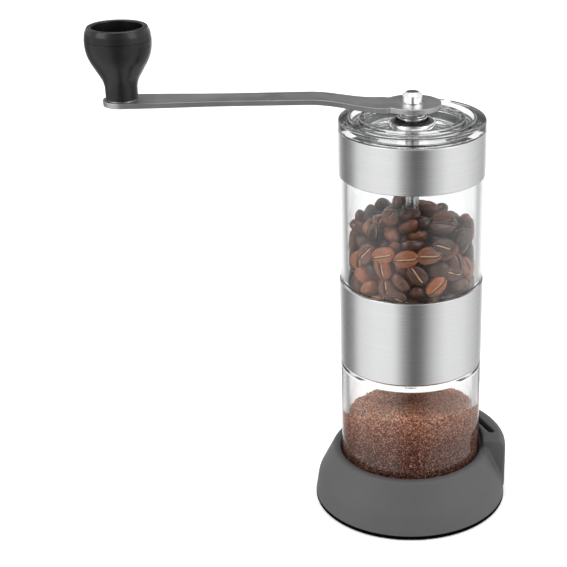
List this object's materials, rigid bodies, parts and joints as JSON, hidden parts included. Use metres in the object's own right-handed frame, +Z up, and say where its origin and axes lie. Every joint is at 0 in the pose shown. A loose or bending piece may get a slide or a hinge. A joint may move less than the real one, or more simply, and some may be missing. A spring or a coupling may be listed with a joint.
{
  "type": "hand crank coffee grinder",
  "caption": "Tall round coffee mill with clear hopper and grounds jar, steel bands, cranked steel handle with black egg-cup knob, and a soft grey foot.",
  "frame": {"origin": "on the grinder's axis, in the foot's resting face", "axes": "+Z up the axis, +X away from the knob, +Y towards the back as the grinder is shown"},
  "size_m": [0.1755, 0.087, 0.219],
  "materials": {
    "silicone": "soft matt grey silicone",
    "clear_body": "polished clear plastic",
    "steel": "stainless brushed round the body",
    "satin_steel": "satin stainless",
    "chrome": "polished plating",
    "machined_steel": "turned steel",
    "black_plastic": "moulded black plastic",
    "knob_plastic": "satin black plastic",
    "seal_rubber": "moulded rubber",
    "ceramic": "ground white ceramic",
    "brass": "turned brass"
  },
  "bodies": {
    "foot": {"silicone_base": "silicone"},
    "jar": {"grounds_jar": "clear_body"},
    "gasket": {"jar_gasket": "seal_rubber"},
    "grinder": {"burr_housing": "black_plastic", "middle_band": "steel", "hopper": "clear_body", "upper_band": "steel", "outer_burr": "ceramic", "burr_retainer": "black_plastic", "retainer_screws": "machined_steel", "bearing_bridge": "black_plastic", "lower_bush": "brass"},
    "drive": {"drive_shaft": "machined_steel", "retaining_ring": "machined_steel", "burr_spring": "machined_steel"},
    "cone": {"inner_burr": "ceramic", "burr_core": "black_plastic", "detent_washer": "machined_steel"},
    "adjuster": {"adjusting_nut": "black_plastic", "nut_insert": "brass"},
    "lid": {"lid": "clear_body", "lid_seal": "seal_rubber", "lid_ring": "chrome", "lid_bush": "black_plastic"},
    "crank": {"crank_arm": "satin_steel", "crank_collar": "chrome", "knob_axle": "machined_steel", "knob_washer": "machined_steel"},
    "washer": {"nut_washer": "chrome"},
    "nut": {"cap_nut": "chrome"},
    "knob": {"knob_lower": "knob_plastic", "knob_upper": "knob_plastic"}
  },
  "joints": [
    {"name": "jar_lift", "type": "slide", "parent": "foot", "child": "jar", "axis": [0, 0, 1], "range_m": [0, 0.03]},
    {"name": "neck_rise", "type": "slide", "parent": "jar", "child": "gasket", "axis": [0, 0, 1], "range_m": [0, 0.009]},
    {"name": "neck_turn", "type": "hinge", "parent": "gasket", "child": "grinder", "pos_m": [0, 0, 0], "axis": [0, 0, 1], "range_deg": [0, 540]},
    {"name": "crank_turn", "type": "hinge", "parent": "grinder", "child": "drive", "pos_m": [0, 0, 0], "axis": [0, 0, 1], "continuous": true},
    {"name": "burr_gap", "type": "slide", "parent": "drive", "child": "cone", "axis": [0, 0, 1], "range_m": [-0.0015, 0], "deforming": ["burr_spring"]},
    {"name": "adjuster_turn", "type": "hinge", "parent": "cone", "child": "adjuster", "pos_m": [0, 0, 0], "axis": [0, 0, 1], "range_deg": [-675, 0]},
    {"name": "lid_lift", "type": "slide", "parent": "grinder", "child": "lid", "axis": [0, 0, 1], "range_m": [0, 0.02]},
    {"name": "crank_lift", "type": "slide", "parent": "drive", "child": "crank", "axis": [0, 0, 1], "range_m": [0, 0.04]},
    {"name": "nut_rise", "type": "slide", "parent": "crank", "child": "washer", "axis": [0, 0, 1], "range_m": [0, 0.0048]},
    {"name": "nut_turn", "type": "hinge", "parent": "washer", "child": "nut", "pos_m": [0, 0, 0], "axis": [0, 0, 1], "range_deg": [0, 2160]},
    {"name": "knob_spin", "type": "hinge", "parent": "crank", "child": "knob", "pos_m": [-0.11854, -0.00787, 0.2], "axis": [0, 0, 1], "continuous": true}
  ],
  "couplings": [
    {"joint": "neck_rise", "follows": "neck_turn", "m_per_rad": 0.00095492},
    {"joint": "adjuster_turn", "follows": "burr_gap", "rad_per_m": 7853.9},
    {"joint": "nut_turn", "follows": "nut_rise", "rad_per_m": 7853.9},
    {"joint": "lid_lift", "follows": "crank_lift", "ratio": 0.5}
  ]
}
